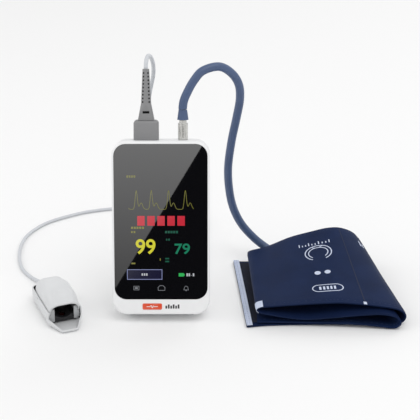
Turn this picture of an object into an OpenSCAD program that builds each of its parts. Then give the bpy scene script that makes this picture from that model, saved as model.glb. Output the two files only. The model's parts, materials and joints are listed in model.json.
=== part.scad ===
// Handheld patient monitor leaning on its folding stand, with a finger sensor on a
// thin cable and an arm cuff on an air hose. Millimetres, +Z up, table at Z = 0.
// The case frame has X across, Y from the glass to the back, Z up the case.

/* [Case] */
// Width of the case
case_w = 79; // [78:0.5:82]
// Height of the case
case_h = 142; // [141:0.5:146]
// Thickness of the case from glass to back
case_d = 28; // [28:0.5:30]
// Corner radius seen from the front
corner_r = 12; // [11:0.5:13]
// Rounding of the front edge
front_r = 1.8; // [1.5:0.1:2]
// Rounding of the back edge
back_r = 7; // [6:0.5:7.5]
// Wall thickness of both shells
wall = 2; // [1.8:0.1:2.2]
// Distance from the glass to the parting line
part_y = 12; // [11:0.5:12]
// Lean of the case from the vertical, in degrees
tilt = 16; // [14:1:18]

/* [Glass] */
// Width of the cover glass
glass_w = 75.4; // [74:0.2:75.6]
// Height of the cover glass
glass_h = 127; // [125:0.5:127]
// Height of the chin under the glass
chin_h = 12.8; // [12.5:0.1:13]
// Thickness of the cover glass
glass_t = 1.1; // [0.9:0.1:1.2]

/* [Stand] */
// Height of the stand's hinge up the case
hinge_z = 92; // [90:1:94]
// Angle of the open leg from the vertical, in degrees
leg_angle = 12; // [11:0.5:13]
// Width of the leg
leg_w = 44; // [40:1:46]
// Radius of the stand's hinge pin
pin_r = 1.5; // [1.4:0.1:1.6]

/* [Connectors] */
// Place of the sensor plug across the case
plug_x = -11.8; // [-13:0.1:-11]
// Place of the hose connector across the case
hose_x = 17.8; // [17:0.1:18]
// Distance of both connectors behind the glass
port_y = 14; // [13.5:0.1:14.5]
// Radius of the air hose
hose_r = 3.5; // [3.3:0.1:3.6]
// Radius of the sensor cable
cable_r = 1.7; // [1.5:0.1:1.7]
// Radius of the thinner lead to the finger clip
lead_r = 1.4; // [1.3:0.1:1.6]

/* [Finger clip] */
// Turn of the clip about the vertical, in degrees
clip_turn = 22; // [20:1:24]
// Half the width of the lower shell
clip_half = 14.4; // [13.8:0.1:14.6]
// Height of the clip over its dome
clip_h = 27; // [27:0.5:28]

/* [Cuff] */
// Thickness of each of the cuff's two fabrics
fabric_t = 0.55; // [0.45:0.05:0.6]
// Thickness of the air bladder between them
bladder_t = 0.9; // [0.7:0.1:0.9]

/* [Hidden] */
$fn = 40;
EDGE_FN = 32;
eps = 0.01;
gap = 0.2;

// The case stands this far above the table, and the middle of its foot is the origin.
case_lift = 7.4;
foot_y = 17.5;
foot_depth = 6;
foot_w = 52;
foot_drop = (foot_y * sin(tilt) - case_lift) / cos(tilt);
case_y = -(foot_y * cos(tilt) + foot_drop * sin(tilt));

screw_x = 32;
screw_zs = [10, case_h - 10];
window_w = 62;
window_zs = [17, 128];
board_w = 68;
board_zs = [15, 126];
door_w = 54;
door_zs = [13, 77];
speaker_at = [-22, 112];
speaker_r = 9.5;
insert_at = [0, 110];
insert_r = 4.5;
thread_r = 2.6;
hinge_off = 3.1;
lug_r = 3.4;
leg_t = 3;
tip_l = 4;
hinge_y = case_d + hinge_off;
// Height of the hinge above the table, which the open leg has to span.
hinge_up = -hinge_y * sin(tilt) + hinge_z * cos(tilt) + case_lift;
leg_l = hinge_up / cos(leg_angle);
button_z = 118;
button_y = 18;
usb_y = 19;
usb_z = 46;
pump_z = 104;

plug_w = 20.3;
plug_d = 11;
plug_h = 15.9;
boot_h = 41;
collar_h = 13.3;
collar_r = 4;
core_r = 3;
sleeve_h = 8;

clip_at = [-84.2, -4.3, 0];
clip_tip = -30.5;
clip_back = 35;
clip_wall = 1;
clip_rim = 13.6;
dome_half = clip_half - clip_wall - 0.35;
dome_wall = 1.8;
dome_r = 8.6;
jaw_y = 14;
jaw_z = 12;
jaw_pin_r = 1;
lead_boot_at = [0, clip_back, 11.2];
lead_boot_l = 10;
lead_boot_slope = 16;
lead_boot_axis = [0, cos(lead_boot_slope), -sin(lead_boot_slope)];

// Middle of each fabric and of the bladder, measured from the middle of the cuff.
band_gap = 0.1;
bladder_half = bladder_t / 2;
fabric_in = bladder_half + band_gap;
fabric_out = fabric_in + fabric_t;

// ---- general shapes ----

module in_case() translate([0, case_y, case_lift]) rotate([-tilt, 0, 0]) children();

// Turns a shape drawn along +Z so that it points along +Y.
module along_y() rotate([-90, 0, 0]) children();

module box(xs, ys, zs) {
    translate([xs[0], ys[0], zs[0]])
        cube([xs[1] - xs[0], ys[1] - ys[0], zs[1] - zs[0]]);
}

function edge_profile(r, d, rf, rb) = concat(
    [[0, 0]],
    [for (a = [0 : 22.5 : 90]) [r - rf + rf * sin(a), rf - rf * cos(a)]],
    [for (a = [0 : 22.5 : 90]) [r - rb + rb * cos(a), d - rb + rb * sin(a)]],
    [[0, d]]
);

// Rounded slab of the case's outline, from Y = 0 to Y = d.
module slab(inset, d, rf, rb) {
    r = corner_r - inset;
    hull()
        for (x = [-1, 1], z = [corner_r, case_h - corner_r])
            translate([x * (case_w / 2 - corner_r), 0, z])
                along_y() rotate_extrude($fn = EDGE_FN)
                    polygon(edge_profile(r, d, rf, rb));
}

// Rounded plate in the case's plane, from Y = 0 to Y = t.
module plate(w, zs, r, t) {
    hull()
        for (x = [-1, 1], z = [zs[0] + r, zs[1] - r])
            translate([x * (w / 2 - r), 0, z]) along_y() cylinder(r = r, h = t, $fn = EDGE_FN);
}

// ---- swept tubes ----

function unit(v) = v / norm(v);
function spline_point(a, b, c, d, t) =
    0.5 * (2 * b + (c - a) * t + (2 * a - 5 * b + 4 * c - d) * t * t
        + (3 * b - a - 3 * c + d) * t * t * t);
// Catmull-Rom curve through the points, with k steps from each to the next.
function spline(p, k) = let (n = len(p)) concat(
    [for (i = [0 : n - 2], j = [0 : k - 1])
        spline_point(p[max(i - 1, 0)], p[i], p[i + 1], p[min(i + 2, n - 1)], j / k)],
    [p[n - 1]]
);
function tangents(p) = [for (i = [0 : len(p) - 1])
    unit(p[min(i + 1, len(p) - 1)] - p[max(i - 1, 0)])];
function carried(t, n) = unit(n - (n * t) * t);
// A normal at each ring, carried along so that the tube doesn't twist.
function ring_normals(ts, n, i = 0) = i == len(ts) ? []
    : let (m = carried(ts[i], n)) concat([m], ring_normals(ts, m, i + 1));

module tube(path, r, sides) {
    ts = tangents(path);
    ns = ring_normals(ts, [0.31, 0.62, 0.72]);
    n = len(path);
    points = [for (i = [0 : n - 1], j = [0 : sides - 1])
        path[i] + r * (cos(360 * j / sides) * ns[i]
            + sin(360 * j / sides) * cross(ts[i], ns[i]))];
    walls = [for (i = [0 : n - 2], j = [0 : sides - 1]) let (k = (j + 1) % sides)
        [i * sides + j, (i + 1) * sides + j, (i + 1) * sides + k, i * sides + k]];
    ends = [[for (j = [0 : sides - 1]) j],
        [for (j = [sides - 1 : -1 : 0]) (n - 1) * sides + j]];
    polyhedron(points, concat(walls, ends));
}

// ---- case ----

module front_shell() color("white") in_case() difference() {
    union() {
        difference() {
            slab(0, part_y - 0.4, front_r, eps);
            translate([0, glass_t + 1.5, 0])
                slab_hollow(part_y);
            translate([0, -1, 0])
                plate(glass_w + gap, [chin_h - gap / 2, chin_h + glass_h + gap / 2], 9.7,
                    glass_t + 1);
            box([-window_w / 2, window_w / 2], [0, 4], window_zs);
        }
        for (x = [-1, 1], z = screw_zs)
            translate([x * screw_x, glass_t + 1, z]) along_y()
                cylinder(r = 3.2, h = part_y - 0.5 - glass_t - 1);
    }
    for (x = [-1, 1], z = screw_zs)
        translate([x * screw_x, glass_t + 2.5, z]) along_y() cylinder(r = 1.25, h = 12);
    plug_openings();
}

// Straight-sided hollow of the front shell.
module slab_hollow(d) {
    hull()
        for (x = [-1, 1], z = [corner_r, case_h - corner_r])
            translate([x * (case_w / 2 - corner_r), 0, z])
                along_y() cylinder(r = corner_r - wall, h = d, $fn = EDGE_FN);
}

// Openings in the top wall for the two connectors.
module plug_openings() {
    box([plug_x - 9.2, plug_x + 9.2], [port_y - 4.7, port_y + 4.7],
        [case_h - 4, case_h + 1]);
    translate([hose_x, port_y, case_h - 4]) cylinder(r = 4.1, h = 5);
}

module rear_shell() color("white") in_case() difference() {
    union() {
        difference() {
            translate([0, part_y + 0.4, 0]) slab(0, case_d - part_y - 0.4, eps, back_r);
            translate([0, part_y - 1, 0])
                slab(wall, case_d - part_y + 1 - wall, eps, back_r - wall);
        }
        // Sleeves that take the shell screws.
        for (x = [-1, 1], z = screw_zs)
            translate([x * screw_x, part_y + 0.5, z]) along_y()
                cylinder(r = 3.2, h = case_d - part_y - 1.5);
        // Seats of the battery door's two screws.
        for (x = [-1, 1])
            translate([x * 30, case_d - 9, 70]) along_y() cylinder(r = 2.8, h = 8);
        translate([0, case_d - 10, insert_at[1]]) along_y() cylinder(r = 6.5, h = 9);
        // Ears that carry the stand's pin.
        for (x = [-1, 1]) stand_ear(x);
    }
    for (x = [-1, 1], z = screw_zs) translate([x * screw_x, 0, z]) along_y() {
        cylinder(r = 1.4, h = case_d + 1);
        translate([0, 0, case_d - 4]) cylinder(r = 2.7, h = 5);
    }
    plug_openings();
    box([-door_w / 2, door_w / 2], [case_d - wall - 1, case_d + 1], door_zs);
    for (x = [-1, 1])
        box([x * 30 - 4, x * 30 + 4], [case_d - 1.2, case_d + 1], [65, 75]);
    for (x = [-1, 1])
        translate([x * 30, case_d - 8, 70]) along_y() cylinder(r = 0.9, h = 9);
    translate([insert_at[0], 0, insert_at[1]]) along_y()
        cylinder(r = insert_r, h = case_d + 1);
    translate([0, hinge_y, hinge_z]) rotate([0, 90, 0])
        cylinder(r = pin_r, h = 80, center = true);
    // Sound holes over the speaker.
    for (i = [-2 : 2], j = [-2 : 2])
        if (i * i + j * j < 6)
            translate([speaker_at[0] + 3 * i, case_d - 4, speaker_at[1] + 3 * j])
                along_y() cylinder(r = 0.8, h = 5);
    // Power button on the left, charging port on the right.
    box([-case_w / 2 - 1, -case_w / 2 + wall + 1], [button_y - 2.5, button_y + 2.5],
        [button_z - 6, button_z + 6]);
    box([case_w / 2 - wall - 1, case_w / 2 + 1], [usb_y - 1.9, usb_y + 1.9],
        [usb_z - 4.9, usb_z + 4.9]);
    box([case_w / 2 - 1.2, case_w / 2 + 1], [usb_y - 3.6, usb_y + 2],
        [usb_z - 7, usb_z + 9]);
}

module stand_ear(side) {
    x = side * (leg_w / 2 + 2.8);
    hull() {
        translate([x, hinge_y, hinge_z]) rotate([0, 90, 0])
            cylinder(r = lug_r, h = 4, center = true, $fn = EDGE_FN);
        box([x - 2, x + 2], [case_d - 1, case_d - 0.9], [hinge_z - 6, hinge_z + 6]);
    }
}

module shell_gasket() color("gray") in_case() translate([0, part_y - 0.4, 0])
    difference() {
        gasket_disc(0.5, 0.8, 0);
        gasket_disc(wall, 2, -0.5);
        translate([0, 0.4 - part_y, 0]) plug_openings();
    }

module gasket_disc(inset, t, y) {
    hull()
        for (x = [-1, 1], z = [corner_r, case_h - corner_r])
            translate([x * (case_w / 2 - corner_r), y, z])
                along_y() cylinder(r = corner_r - inset, h = t, $fn = EDGE_FN);
}

module cover_glass() color("black") in_case()
    plate(glass_w, [chin_h, chin_h + glass_h], 9.6, glass_t);

module display_module() color("darkslategray") in_case() {
    box([-29.5, 29.5], [glass_t + 0.1, 4.6], [27, 127]);
}

module touch_key_board() color("seagreen") in_case() difference() {
    box([-27, 27], [glass_t + 0.1, 2.4], [17.6, 25.6]);
    for (x = [-20.3, 0, 20.3])
        translate([x, 0, 21.6]) along_y() cylinder(r = 1.6, h = 4);
}

module mid_frame() color("silver") in_case() difference() {
    box([-board_w / 2, board_w / 2], [5, 6.4], board_zs);
    for (z = [30, 66, 100])
        box([-24, 24], [4, 8], [z, z + 20]);
}

module main_board() color("darkgreen") in_case() {
    box([-board_w / 2, board_w / 2], [8.2, 9.8], [board_zs[0], board_zs[1]]);
    for (c = [[-20, 30, 12], [6, 84, 14], [-16, 56, 10], [18, 40, 8]])
        box([c[0], c[0] + c[2]], [9.8, 11], [c[1], c[1] + c[2]]);
}

module sensor_board() color("darkgreen") in_case() {
    box([-35, -2], [12.8, 14.2], [86, 100]);
    box([-32, -8], [14.2, 16.4], [88, 98]);
}

module battery_pack() color("dimgray") in_case() {
    hull()
        for (x = [-20.5, 20.5], z = [19.5, 71.5])
            translate([x, 14.5, z]) along_y() cylinder(r = 3.5, h = 10);
}

module battery_door() color("whitesmoke") in_case() difference() {
    union() {
        box([-door_w / 2 + gap, door_w / 2 - gap], [case_d - wall, case_d - 0.1],
            [door_zs[0] + gap, door_zs[1] - gap]);
        for (x = [-1, 1])
            box([x * 30 - 3.8, x * 30 + 3.8], [case_d - 1.2, case_d - 0.1], [65.2, 74.8]);
        for (x = [-1, 1]) box([x * 28 - 3, x * 28 + 3], [case_d - 1.2, case_d - 0.1],
            [65.2, 74.8]);
        // Tongues that hook under the bottom edge.
        for (x = [-14, 14])
            box([x - 4, x + 4], [case_d - wall - 1.2, case_d - wall], [11, 18]);
    }
    for (x = [-1, 1])
        translate([x * 30, 0, 70]) along_y() cylinder(r = 1.1, h = case_d + 1);
    // Finger grooves.
    for (z = [22 : 3 : 34])
        box([-10, 10], [case_d - 0.7, case_d + 1], [z, z + 1.2]);
}

module door_screws() color("silver") in_case()
    for (x = [-1, 1]) translate([x * 30, 0, 70]) along_y() {
        translate([0, 0, case_d - 6.5]) cylinder(r = 0.9, h = 6.5);
        translate([0, 0, case_d - 0.1]) difference() {
            cylinder(r = 1.9, h = 0.9);
            box([-1.6, 1.6], [-0.25, 0.25], [0.4, 1]);
        }
    }

module shell_screws() color("silver") in_case()
    for (x = [-1, 1], z = screw_zs) translate([x * screw_x, 0, z]) along_y() {
        translate([0, 0, 5]) cylinder(r = 1.25, h = case_d - 9);
        translate([0, 0, case_d - 4]) difference() {
            cylinder(r = 2.4, h = 1.8);
            translate([0, 0, 0.9]) cylinder(r = 1.2, h = 1, $fn = 6);
        }
    }

module speaker() color("dimgray") in_case()
    translate([speaker_at[0], 20.5, speaker_at[1]]) along_y() difference() {
        cylinder(r = speaker_r, h = case_d - wall - 20.5);
        translate([0, 0, 3]) cylinder(r1 = 4, r2 = 8, h = 3);
    }

// ---- blood pressure pump and valve ----

module pump_motor() color("gray") in_case() {
    // The motor lies along X, the head at its outer end holds the eccentric.
    translate([16, 18.5, pump_z]) rotate([0, 90, 0]) difference() {
        cylinder(r = 5.6, h = 12);
        translate([0, 0, -1]) cylinder(r = 1.05, h = 9);
    }
    difference() {
        box([28, 35.6], [12.4, 24.2], [pump_z - 7, pump_z + 7]);
        box([29, 37], [14, 23], [pump_z - 5, pump_z + 5]);
    }
    // Air outlet that the inner tube pushes on.
    translate([hose_x, port_y, 115]) cylinder(r = 1.45, h = 9);
    box([14, 30], [12.2, 16], [pump_z + 5, 115]);
}

module pump_shaft() color("silver") in_case()
    translate([0, 18.5, pump_z]) rotate([0, 90, 0]) {
        translate([0, 0, 8]) cylinder(r = 1, h = 15.8);
        translate([0, 0.8, 8]) cylinder(r = 3, h = 4);
    }

module inner_air_tube() color("lightgray") in_case()
    translate([hose_x, port_y, 115.5]) difference() {
        cylinder(r = 2.6, h = 19);
        translate([0, 0, -1]) cylinder(r = 1.45, h = 21);
    }

module release_valve() color("dimgray") in_case() difference() {
    box([8, 24], [13, 23], [79, 89]);
    translate([5, 18, 84]) rotate([0, 90, 0]) cylinder(r = 2.05, h = 14);
    translate([15, 18, 84]) rotate([0, 90, 0]) cylinder(r = 1, h = 12);
}

module valve_plunger() color("silver") in_case()
    translate([7, 18, 84]) rotate([0, 90, 0]) cylinder(r = 2, h = 11);

// ---- buttons and ports on the case ----

module power_button() color("gainsboro") in_case() {
    x = -case_w / 2;
    box([x - 0.7, x + wall + 0.4], [button_y - 2.3, button_y + 2.3],
        [button_z - 5.8, button_z + 5.8]);
    box([x + wall + 0.3, x + wall + 1.2], [button_y - 3.6, button_y + 3.6],
        [button_z - 7, button_z + 7]);
}

module power_switch() color("black") in_case() {
    x = -case_w / 2 + wall + 2;
    box([x, x + 3], [button_y - 2, button_y + 2], [button_z - 2, button_z + 2]);
}

module usb_socket() color("silver") in_case() difference() {
    box([case_w / 2 - 10, case_w / 2 - 1.3], [usb_y - 1.7, usb_y + 1.7],
        [usb_z - 4.7, usb_z + 4.7]);
    box([case_w / 2 - 8, case_w / 2], [usb_y - 1.3, usb_y + 1.3],
        [usb_z - 4.3, usb_z + 4.3]);
}

// Soft flap that hangs from its upper edge and covers the charging port.
module usb_flap() color("lightgray") in_case() {
    x = case_w / 2;
    box([x - 1, x - 0.1], [usb_y - 3.4, usb_y + 1.8], [usb_z - 6.8, usb_z + 7.2]);
    translate([x - 0.55, usb_y - 3.4, usb_z + 7.4]) along_y()
        cylinder(r = 0.55, h = 5.2);
}

module clamp_insert() color("goldenrod") in_case()
    translate([insert_at[0], 0, insert_at[1]]) along_y() difference() {
        translate([0, 0, case_d - 10]) cylinder(r = insert_r, h = 10);
        translate([0, 0, case_d - 8]) cylinder(r = thread_r, h = 9);
    }

// Raised badge on the chin, left blank.
module name_badge() color("orangered") in_case() translate([0, -0.3, 0])
    hull()
        for (x = [-14.2, -0.4], z = [5.3, 8.4])
            translate([x, 0, z]) along_y() cylinder(r = 1, h = 0.3, $fn = 24);

// ---- feet and stand ----

module base_foot() color("lightgray") difference() {
    in_case() box([-foot_w / 2, foot_w / 2],
        [foot_y - foot_depth / 2, foot_y + foot_depth / 2], [-6, 0]);
    translate([-60, -40, -20]) cube([120, 80, 20]);
}

// The leg hangs from the hinge and is drawn open.
module at_hinge() in_case() translate([0, hinge_y, hinge_z])
    rotate([tilt + leg_angle, 0, 0]) children();

module stand_leg() color("whitesmoke") at_hinge() difference() {
    union() {
        translate([0, -leg_t / 2, 0])
            plate(leg_w, [-leg_l + tip_l, -1], 2, leg_t);
        rotate([0, 90, 0]) cylinder(r = 2.8, h = leg_w, center = true);
    }
    rotate([0, 90, 0]) cylinder(r = pin_r + 0.06, h = leg_w + 2, center = true);
    translate([0, -leg_t, 0]) plate(leg_w - 20, [-leg_l + 18, -20], 6, 2 * leg_t);
    // Middle of the barrel is open for the back's ridge.
    box([-10, 10], [-4, 4], [-6, 4]);
}

module stand_tip() color("dimgray") difference() {
    at_hinge() box([-leg_w / 2 + 1, leg_w / 2 - 1], [-leg_t / 2, leg_t / 2],
        [-leg_l - 3, -leg_l + tip_l]);
    translate([-60, -10, -20]) cube([120, 160, 20]);
}

module stand_pin() color("silver") in_case() translate([0, hinge_y, hinge_z])
    rotate([0, 90, 0]) cylinder(r = pin_r, h = leg_w + 9, center = true);

// ---- sensor plug ----

module sensor_socket() color("dimgray") in_case() difference() {
    union() {
        box([plug_x - 10.5, plug_x + 10.5], [port_y - 6, port_y + 6],
            [case_h - 12, case_h - wall - 0.1]);
        box([plug_x - 9, plug_x + 9], [port_y - 4.5, port_y + 4.5],
            [case_h - 3, case_h - 0.1]);
    }
    box([plug_x - 7.5, plug_x + 7.5], [port_y - 3, port_y + 3],
        [case_h - 9, case_h + 1]);
}

module sensor_plug() color("gray") in_case() translate([plug_x, port_y, case_h]) {
    hull() {
        for (x = [-1, 1], y = [-1, 1])
            translate([x * (plug_w / 2 - 1.2), y * (plug_d / 2 - 1.2), 0.1])
                cylinder(r = 1.2, h = 1, $fn = 24);
        for (x = [-1, 1], y = [-1, 1])
            translate([x * (plug_w / 2 - 2.8), y * (plug_d / 2 - 2.8), plug_h - 2.8])
                sphere(r = 2.8, $fn = 24);
    }
    box([-7.3, 7.3], [-2.8, 2.8], [-8, 0.2]);
}

// Ribbed strain relief with two columns of slots.
module plug_boot() color("gray") in_case() translate([plug_x, port_y, case_h + plug_h])
    difference() {
        union() {
            hull() {
                translate([-6.4, -4, 0]) cube([12.8, 8, 0.8]);
                translate([0, 0, 12]) cylinder(r = 4.2, h = 1, $fn = EDGE_FN);
            }
            translate([0, 0, 12]) cylinder(r1 = 4.2, r2 = 2.7, h = boot_h - 12);
        }
        for (i = [0 : 8], side = [-1, 1]) {
            z = 14 + i * 2.9;
            inner = 2.1 - i * 0.11;
            for (y = [-6, 0.7])
                translate([side > 0 ? inner : -inner - 1.1, y, z]) cube([1.1, 5.3, 1.3]);
        }
        translate([-2.7, -6, 5.5]) cube([5.4, 4, 1.9]);
    }

// ---- hose connector ----

module hose_port() color("silver") in_case() translate([hose_x, port_y, case_h])
    difference() {
        union() {
            translate([0, 0, -5.5]) cylinder(r = 6, h = 3.4, $fn = 6);
            translate([0, 0, -3]) cylinder(r = 3.9, h = 3);
            translate([0, 0, -1]) cylinder(r = 2, h = 11);
            translate([0, 0, -13]) cylinder(r = 1.45, h = 8);
        }
        translate([0, 0, -14]) cylinder(r = 0.9, h = 30);
    }

module hose_core() color("silver") in_case() translate([hose_x, port_y, case_h])
    difference() {
        union() {
            translate([0, 0, 2]) cylinder(r = core_r, h = 14);
            translate([0, 0, 14]) cylinder(r = 2.2, h = 8.6);
        }
        translate([0, 0, 1]) cylinder(r = 2.05, h = 9.6);
        translate([0, 0, 1]) cylinder(r = 1.1, h = 22);
    }

// Knurled collar that slides up the core to free the hose.
module hose_collar() color("silver") in_case()
    translate([hose_x, port_y, case_h + 0.2]) difference() {
        cylinder(r = collar_r, h = collar_h);
        translate([0, 0, -1]) cylinder(r = core_r + 0.05, h = collar_h + 2);
        for (a = [0 : 20 : 340])
            rotate([0, 0, a]) translate([collar_r, 0, 1.4])
                cylinder(r = 0.28, h = collar_h - 2.8, $fn = 6);
    }

module hose_sleeve() color("steelblue") in_case()
    translate([hose_x, port_y, case_h + 16.1]) difference() {
        cylinder(r1 = 4.6, r2 = hose_r, h = sleeve_h);
        translate([0, 0, -1]) cylinder(r = 2.25, h = 8);
    }

// ---- free hose and cable, laid on the table ----

function tilted(p) = [p[0], p[1] * cos(tilt) + p[2] * sin(tilt) + case_y,
    -p[1] * sin(tilt) + p[2] * cos(tilt) + case_lift];

hose_end_z = case_h + 16.1 + sleeve_h;
hose_route = concat([for (up = [0.4, 2.2]) tilted([hose_x, port_y, hose_end_z + up])], [
    [18.6, 45.4, 170], [21.2, 47.6, 176], [26.6, 51, 185], [34, 55, 192.2], [47, 60, 194],
    [57, 64.5, 187], [63.2, 68, 176], [64.4, 71.5, 162], [61.9, 76, 144],
    [57.9, 81, 120.5], [55.2, 86.5, 93.5], [56.5, 91.5, 70], [60.3, 95.5, 51],
    [67.7, 99, 34], [79, 102, 19], [89.5, 100.5, 10.6], [97, 94, 8.4],
    [99.6, 86, 8.4], [100.4, 83.6, 8.4]
]);

boot_end_z = case_h + plug_h + boot_h;
cable_route = concat([for (up = [0.3, 2.2]) tilted([plug_x, port_y, boot_end_z + up])], [
    [-11.5, 55.6, 200.6], [-10.2, 60.4, 203], [-8.2, 66, 199.8], [-6.6, 70.8, 191.6],
    [-7, 74.8, 181], [-9.4, 77.6, 169], [-11.4, 80.6, 156], [-12.6, 85, 138],
    [-13, 91, 112], [-10.4, 98.6, 84], [-4, 107, 55], [5, 117, 29],
    [14.6, 128, 11], [22.8, 140, 3.4], [28.2, 151, 1.9]
]);

coil_at = [7, 168, 0];
coil_in = 13.3;
coil_out = 23.5;

function clipped(p) = clip_at + [p[0] * cos(clip_turn) - p[1] * sin(clip_turn),
    p[0] * sin(clip_turn) + p[1] * cos(clip_turn), p[2]];
lead_route = concat([for (on = [0.3, 2.2]) clipped(lead_boot_at + (lead_boot_l + on) * lead_boot_axis)], [
    [-104.6, 45.5, 5.2], [-109.5, 53, 2.7], [-116.5, 62.5, 1.6], [-124, 75, 1.6],
    [-128.3, 89, 1.6], [-130.8, 104, 1.6], [-131.5, 122, 1.6], [-129, 141, 1.6],
    [-121, 159, 1.6], [-110, 173, 1.6], [-94, 185, 1.6], [-78, 194, 1.6],
    [-60, 200, 1.6], [-40, 203, 1.6], [-20, 201, 1.6], [-6, 195, 2.2]
]);

module air_hose() color("steelblue") tube(spline(hose_route, 2), hose_r, 12);
module sensor_cable() color("gainsboro") tube(spline(cable_route, 2), cable_r, 8);
module sensor_lead() color("gainsboro") tube(spline(lead_route, 2), lead_r, 8);

// Outer shape of the wound cable.
module cable_coil() color("gainsboro") translate(coil_at) rotate_extrude($fn = 64)
    translate([coil_in - cable_r - 0.2, 0.1])
        square([coil_out - coil_in + 2 * cable_r + 0.4, 4 * cable_r + 0.3]);

// ---- finger clip ----

// The clip's own frame has +Y towards the cable and its tip at -Y.
module at_clip() translate(clip_at) rotate([0, 0, clip_turn]) children();

module clip_tray(inset) {
    h = clip_half - inset;
    r = 5 - inset * 0.6;
    hull() {
        for (x = [-1, 1], y = [-15, clip_back - 5 - inset])
            translate([x * (h - r), y, r + inset]) sphere(r = r, $fn = 24);
        for (x = [-1, 1], y = [-15, clip_back - r - inset])
            translate([x * (h - r), y, r + inset]) cylinder(r = r, h = 12, $fn = 24);
        for (x = [-1, 1])
            translate([x * (5.6 - inset * 0.6), clip_tip + 2 + inset, 1.9 + inset * 0.9])
                cylinder(r = 2, h = 9, center = false, $fn = 16);
        for (x = [-1, 1])
            translate([x * (5.6 - inset * 0.6), clip_tip + 2.3 + inset, 1.7 + inset * 0.9])
                sphere(r = 1.7, $fn = 16);
    }
}

module clip_lower_shell() color("whitesmoke") at_clip() difference() {
    clip_tray(0);
    clip_tray(clip_wall);
    translate([-20, -40, clip_rim]) cube([40, 80, 20]);
    // The beak's rim is low and falls away towards the tip.
    translate([0, -15.4, 7.6]) rotate([19, 0, 0]) translate([-20, -40, 0])
        cube([40, 40, 30]);
    translate([0, jaw_y, jaw_z]) rotate([0, 90, 0])
        cylinder(r = jaw_pin_r, h = 40, center = true);
    translate([0, 20, lead_boot_at[2]]) along_y() cylinder(r = 2.3, h = 20);
    translate([-2.3, 20, lead_boot_at[2]]) cube([4.6, 20, 10]);
}

module clip_dome(inset) {
    r = dome_r - inset;
    hull() for (x = [-1, 1] * (dome_half - dome_r)) {
        translate([x, -6, clip_h - dome_r]) along_y() cylinder(r = r, h = 17, $fn = EDGE_FN);
        translate([x, -20, clip_h - dome_r - 7.8]) along_y() cylinder(r = r, h = 1, $fn = EDGE_FN);
        translate([x, clip_back - 10.7 - inset * 0.2, clip_h - dome_r - 3.6])
            sphere(r = r - 0.4, $fn = 24);
        translate([x - r, -20, 9]) cube([2 * r, clip_back + 11.5, 1]);
    }
}

module clip_upper_shell() color("whitesmoke") at_clip() difference() {
    clip_dome(0);
    clip_dome(dome_wall);
    // Open below, and at the front, where the edge leans forward.
    translate([-20, -40, -3]) cube([40, 90, 13.4]);
    translate([0, -14.9, 13]) rotate([22, 0, 0]) translate([-20, -40, -20])
        cube([40, 40, 60]);
    // Room for the cable's boot as the jaw tips.
    translate([-3.6, clip_back - 8.5, 5]) cube([7.2, 20, 13]);
    translate([0, jaw_y, jaw_z]) rotate([0, 90, 0])
        cylinder(r = jaw_pin_r + 0.06, h = 40, center = true);
    // Shallow thumb rest on the slope over the opening.
    translate([0, -22.7, clip_h + 14.6]) scale([1.35, 1, 1]) sphere(r = 22, $fn = 64);
}

// Plates beside the pads, with a pillar at each side of the opening.
module clip_guards() color("lightgray") at_clip() for (x = [-1, 1]) {
    box([x * 10.4 - 0.3, x * 10.4 + 0.3], [-13.6, 5], [3.4, 12.6]);
    box([x * 9.6 - 1.5, x * 9.6 + 1.5], [-14.4, -13.3], [3.4, 14.8]);
    box([x * 11.35 - 1.5, x * 11.35 + 1.5], [-14.4, -13.3], [4.4, 10.1]);
}

module clip_lower_pad() color("dimgray") at_clip() difference() {
    box([-9.9, 9.9], [-12.8, 9], [2.2, 7.4]);
    translate([0, -40, 14.6]) along_y() cylinder(r = 9.6, h = 60);
    translate([0, -6, 0]) cylinder(r = 3.1, h = 20);
}

module clip_detector() color("darkred") at_clip()
    translate([0, -6, 2.3]) cylinder(r = 3, h = 2.6);

module clip_upper_pad() color("dimgray") at_clip() difference() {
    intersection() {
        box([-9.4, 9.4], [-10, 8.5], [15.8, 30]);
        clip_dome(dome_wall + 0.06);
    }
    translate([0, -40, 9.2]) along_y() cylinder(r = 9.4, h = 60);
    translate([0, -6, 10]) cylinder(r = 3.1, h = 10.2);
}

module clip_emitter() color("firebrick") at_clip()
    translate([0, -6, 18.7]) cylinder(r = 3, h = 1.4);

module clip_pin() color("silver") at_clip() translate([0, jaw_y, jaw_z])
    rotate([0, 90, 0]) cylinder(r = jaw_pin_r, h = 2 * clip_half - 1, center = true);

spring_turns = 4;
spring_helix = [for (a = [0 : 30 : 360 * spring_turns])
    [-2.6 + 1.3 * a / 360, jaw_y + 2.1 * cos(a), jaw_z + 2.1 * sin(a)]];
module clip_spring() color("silver") at_clip() tube(spring_helix, 0.4, 6);

module lead_boot() color("gainsboro") at_clip() translate(lead_boot_at) {
    translate([0, -1.8, 0]) along_y() cylinder(r = 2.2, h = 3.6);
    rotate([-90 - lead_boot_slope, 0, 0]) translate([0, 0, 1])
        cylinder(r1 = 2.9, r2 = 1.7, h = lead_boot_l - 1);
}

// ---- cuff ----

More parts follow.
